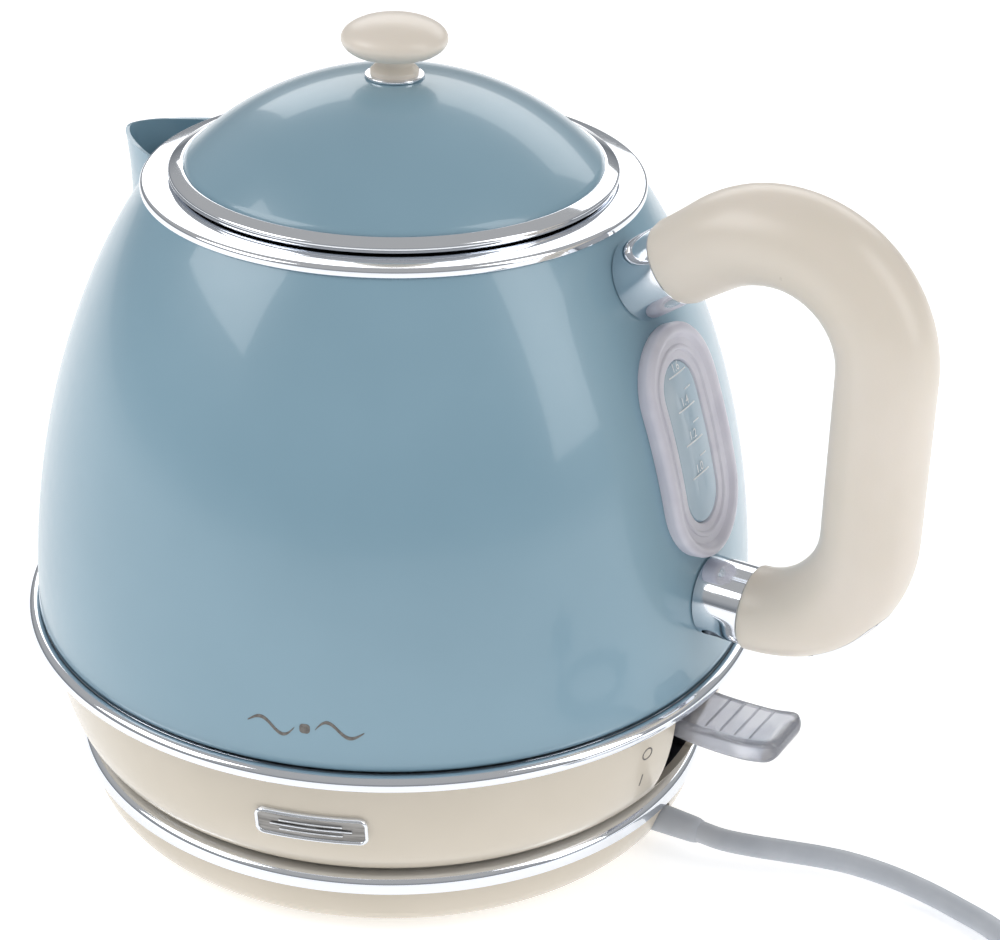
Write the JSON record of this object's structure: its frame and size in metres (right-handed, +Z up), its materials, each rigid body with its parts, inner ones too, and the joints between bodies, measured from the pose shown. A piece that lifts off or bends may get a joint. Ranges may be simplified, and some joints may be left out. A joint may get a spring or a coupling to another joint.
{
  "type": "electric kettle",
  "caption": "Domed cordless electric kettle with a ring handle, side water window, switch lever, knobbed lid and a round power base with a coiled mains lead.",
  "frame": {"origin": "on the kettle's upright axis, in the plane that the base's rubber foot ring stands on", "axes": "+Z up, +X towards the handle, switch lever and mains lead, -X towards the spout"},
  "size_m": [0.4528, 0.2018, 0.2185],
  "materials": {
    "cream_plastic": "moulded, satin gloss",
    "chrome_trim": "polished plating",
    "foot_rubber": "moulded",
    "zinc_screw": "zinc plated",
    "black_plastic": "moulded, fine satin",
    "contact_brass": "stamped",
    "ivory_plastic": "moulded, satin gloss",
    "wire_insulation": "extruded",
    "lead_plastic": "moulded, light grey",
    "pin_nickel": "nickel plated",
    "blue_paint": "gloss pastel enamel",
    "inner_steel": "satin",
    "spreader_aluminium": "rolled",
    "silicone": "translucent white",
    "lamp_lens": "tinted",
    "frosted_bezel": "frosted",
    "clear_window": "clear moulded",
    "white_nylon": "moulded",
    "badge_field": "fine brushed grey",
    "smoke_lever": "smoky clear moulded"
  },
  "bodies": {
    "power_base": {"base_shell": "cream_plastic", "base_plate": "cream_plastic", "base_ring": "chrome_trim", "foot_ring": "foot_rubber", "base_screws": "zinc_screw", "connector_turret": "black_plastic", "turret_contacts": "contact_brass", "turret_screws": "zinc_screw", "cord_clamp": "ivory_plastic", "clamp_screws": "zinc_screw", "base_leads": "wire_insulation", "strain_relief": "lead_plastic", "mains_cord": "lead_plastic", "cord_coil": "lead_plastic", "cord_tie": "black_plastic", "plug_lead": "lead_plastic", "plug_body": "lead_plastic", "plug_pins": "pin_nickel", "plug_earth_clips": "contact_brass"},
    "insert": {"connector_insert": "foot_rubber"},
    "jug": {"body_shell": "blue_paint", "handle_studs": "zinc_screw", "spout": "blue_paint", "filter_frame": "ivory_plastic", "filter_mesh": "inner_steel", "top_collar": "chrome_trim", "trim_ring": "chrome_trim", "skirt": "cream_plastic", "bottom_cover": "black_plastic", "bottom_screws": "zinc_screw", "heater_plate": "inner_steel", "heat_spreader": "spreader_aluminium", "heating_element": "inner_steel", "element_terminals": "inner_steel", "heater_seal": "silicone", "control_housing": "black_plastic", "control_contacts": "contact_brass", "bimetal_disc": "inner_steel", "control_screws": "zinc_screw", "steam_tube": "silicone", "indicator_lamp": "lamp_lens", "window_bezel": "frosted_bezel", "window_lens": "clear_window", "window_seal": "silicone", "handle_grip": "ivory_plastic", "handle_core": "white_nylon", "ferrule_lower": "chrome_trim", "ferrule_upper": "chrome_trim", "handle_screws": "foot_rubber", "grip_plug": "ivory_plastic", "badge_frame": "chrome_trim", "badge_plate": "badge_field", "lever_pin": "zinc_screw"},
    "lever": {"switch_lever": "smoke_lever"},
    "lid": {"lid_shell": "blue_paint", "lid_rim": "chrome_trim", "lid_inner": "inner_steel", "lid_seal": "silicone", "lid_knob": "ivory_plastic", "knob_screw": "zinc_screw"}
  },
  "joints": [
    {"name": "jug_swivel", "type": "hinge", "parent": "power_base", "child": "insert", "pos_m": [0, 0, 0], "axis": [0, 0, 1], "continuous": true},
    {"name": "jug_lift", "type": "slide", "parent": "insert", "child": "jug", "axis": [0, 0, 1], "range_m": [0, 0.115]},
    {"name": "lever_tilt", "type": "hinge", "parent": "jug", "child": "lever", "pos_m": [0.0799, 0, 0.0475], "axis": [0, 1, 0], "range_deg": [0, 18]},
    {"name": "lid_lift", "type": "slide", "parent": "jug", "child": "lid", "axis": [0, 0, 1], "range_m": [0, 0.06]}
  ]
}
